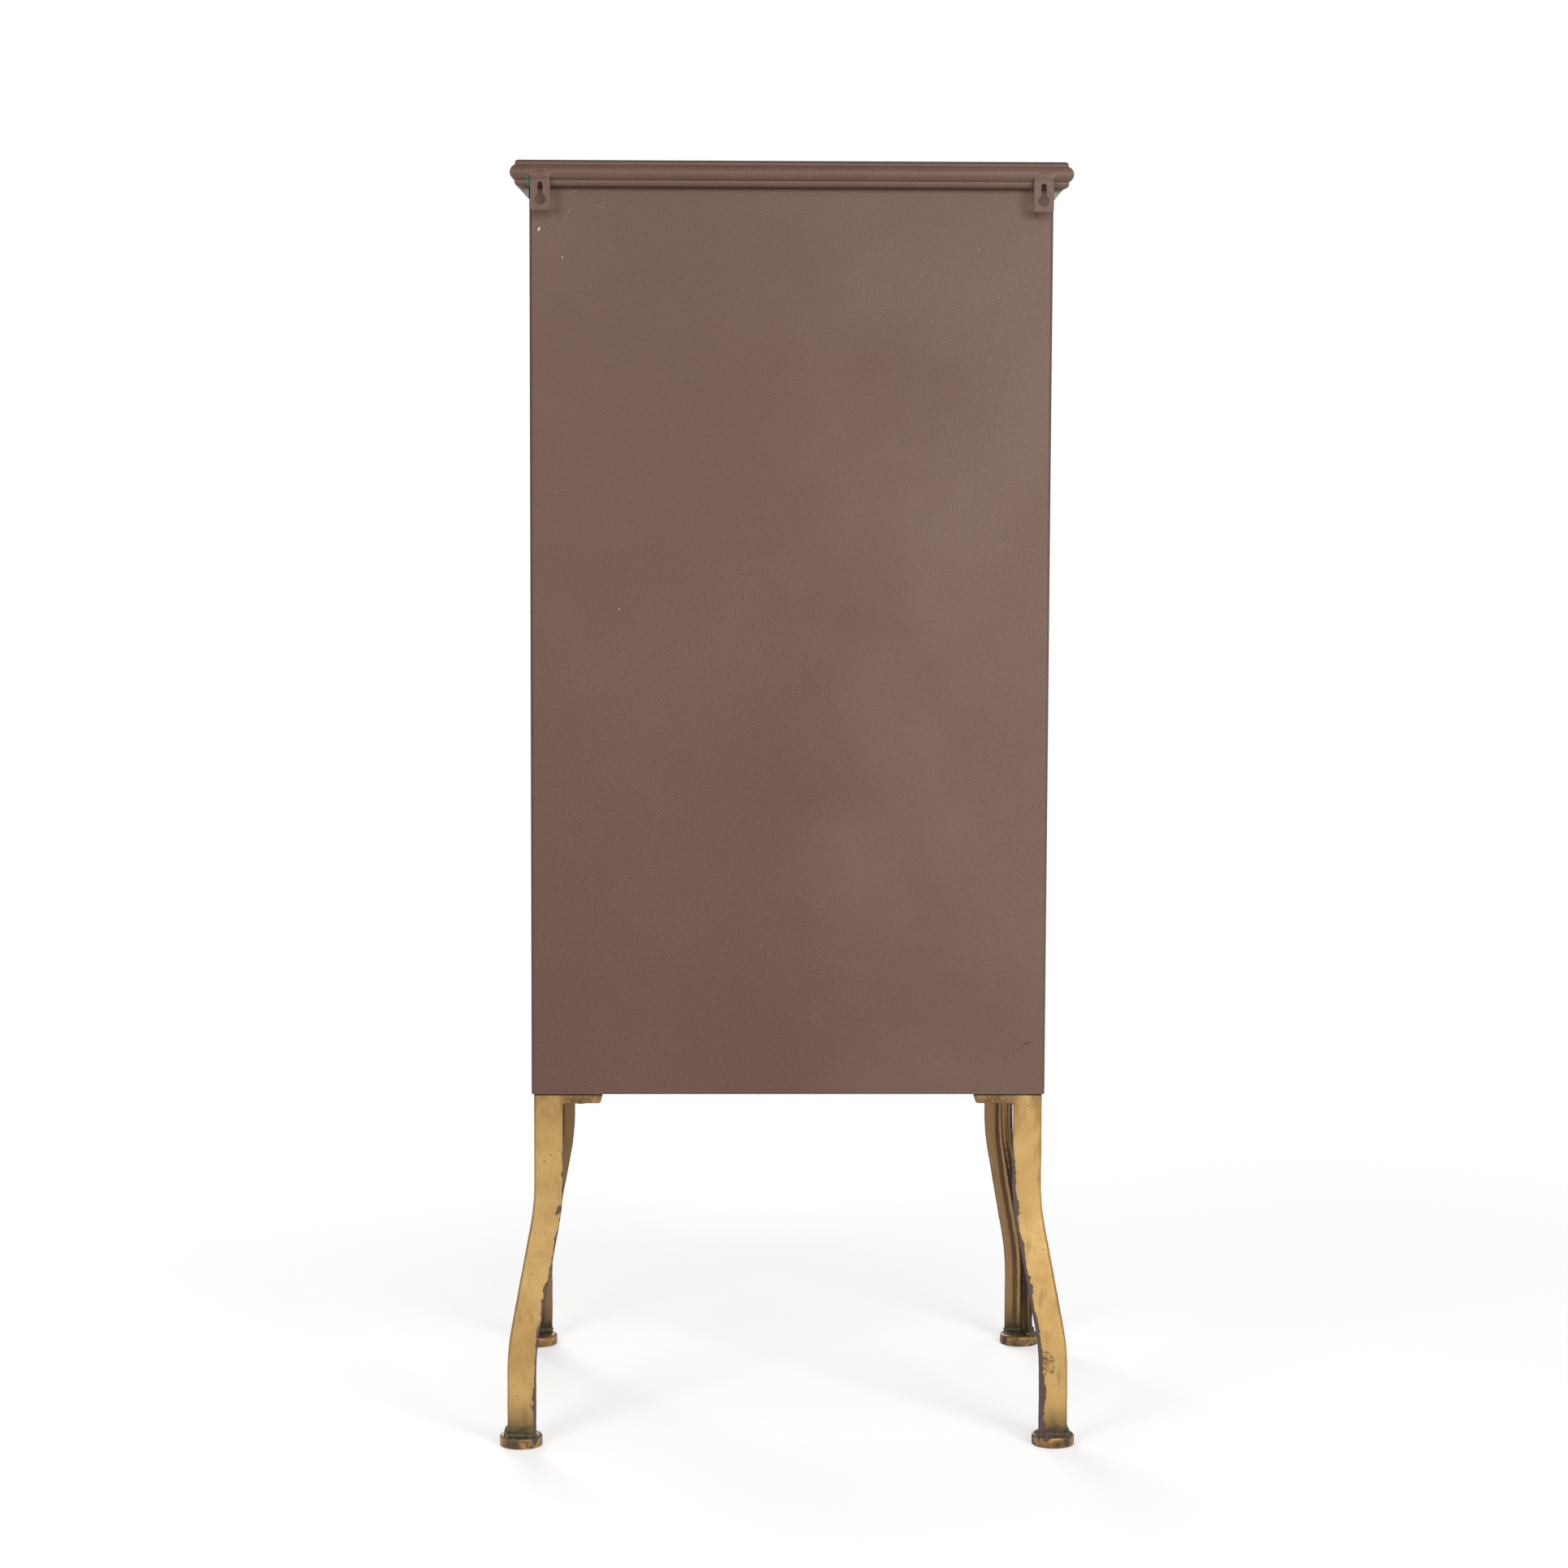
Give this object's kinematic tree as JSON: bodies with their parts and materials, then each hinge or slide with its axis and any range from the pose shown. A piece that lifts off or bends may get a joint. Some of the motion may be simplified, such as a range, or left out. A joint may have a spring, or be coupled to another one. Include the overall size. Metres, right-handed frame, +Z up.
{
  "type": "drawer cabinet",
  "caption": "Tall narrow metal cabinet of sliding drawers with cup pulls, a moulded crown with keyhole hangers at the back, and splayed cast legs on round feet.",
  "frame": {"origin": "middle of the bounding box, on the floor under the feet", "axes": "+Z up, drawers face -Y and open that way, back panel faces +Y, +X to the right of someone who faces the drawers"},
  "size_m": [0.5072, 0.4132, 1.12],
  "materials": {
    "back_paint": "satin",
    "body_paint": "worn satin",
    "leg_paint": "worn satin",
    "foot_metal": "aged",
    "tray_paint": "satin",
    "pull_brass": "aged",
    "runner_steel": "zinc plated",
    "fixing_steel": "dull"
  },
  "bodies": {
    "cabinet": {"side_left": "body_paint", "side_right": "body_paint", "back_panel": "back_paint", "bottom_panel": "back_paint", "top_plate": "body_paint", "stile_left": "body_paint", "stile_right": "body_paint", "rail_top": "body_paint", "rail_bottom": "body_paint", "crown_front": "body_paint", "crown_left": "body_paint", "crown_right": "body_paint", "crown_back": "back_paint", "hanger_left": "back_paint", "hanger_right": "back_paint", "leg_front_left": "leg_paint", "leg_front_right": "leg_paint", "leg_back_left": "leg_paint", "leg_back_right": "leg_paint", "foot_front_left": "foot_metal", "foot_front_right": "foot_metal", "foot_back_left": "foot_metal", "foot_back_right": "foot_metal", "leg_fixings": "fixing_steel", "rail_1": "body_paint", "rail_2": "body_paint", "rail_3": "body_paint", "rail_4": "body_paint", "rail_5": "body_paint", "runners_1": "runner_steel", "runners_2": "runner_steel", "runners_3": "runner_steel", "runners_4": "runner_steel", "runners_5": "runner_steel", "runners_6": "runner_steel"},
    "drawer_1": {"drawer_1_front": "body_paint", "drawer_1_tray": "tray_paint", "drawer_1_pull": "pull_brass", "drawer_1_screws": "pull_brass"},
    "drawer_2": {"drawer_2_front": "body_paint", "drawer_2_tray": "tray_paint", "drawer_2_pull": "pull_brass", "drawer_2_screws": "pull_brass"},
    "drawer_3": {"drawer_3_front": "body_paint", "drawer_3_tray": "tray_paint", "drawer_3_pull": "pull_brass", "drawer_3_screws": "pull_brass"},
    "drawer_4": {"drawer_4_front": "body_paint", "drawer_4_tray": "tray_paint", "drawer_4_pull": "pull_brass", "drawer_4_screws": "pull_brass"},
    "drawer_5": {"drawer_5_front": "body_paint", "drawer_5_tray": "tray_paint", "drawer_5_pull": "pull_brass", "drawer_5_screws": "pull_brass"},
    "drawer_6": {"drawer_6_front": "body_paint", "drawer_6_tray": "tray_paint", "drawer_6_pull": "pull_brass", "drawer_6_screws": "pull_brass"}
  },
  "joints": [
    {"name": "drawer_1_slide", "type": "slide", "parent": "cabinet", "child": "drawer_1", "axis": [0, -1, 0], "range_m": [0, 0.2493]},
    {"name": "drawer_2_slide", "type": "slide", "parent": "cabinet", "child": "drawer_2", "axis": [0, -1, 0], "range_m": [0, 0.2493]},
    {"name": "drawer_3_slide", "type": "slide", "parent": "cabinet", "child": "drawer_3", "axis": [0, -1, 0], "range_m": [0, 0.2493]},
    {"name": "drawer_4_slide", "type": "slide", "parent": "cabinet", "child": "drawer_4", "axis": [0, -1, 0], "range_m": [0, 0.2493]},
    {"name": "drawer_5_slide", "type": "slide", "parent": "cabinet", "child": "drawer_5", "axis": [0, -1, 0], "range_m": [0, 0.2493]},
    {"name": "drawer_6_slide", "type": "slide", "parent": "cabinet", "child": "drawer_6", "axis": [0, -1, 0], "range_m": [0, 0.2493]}
  ]
}
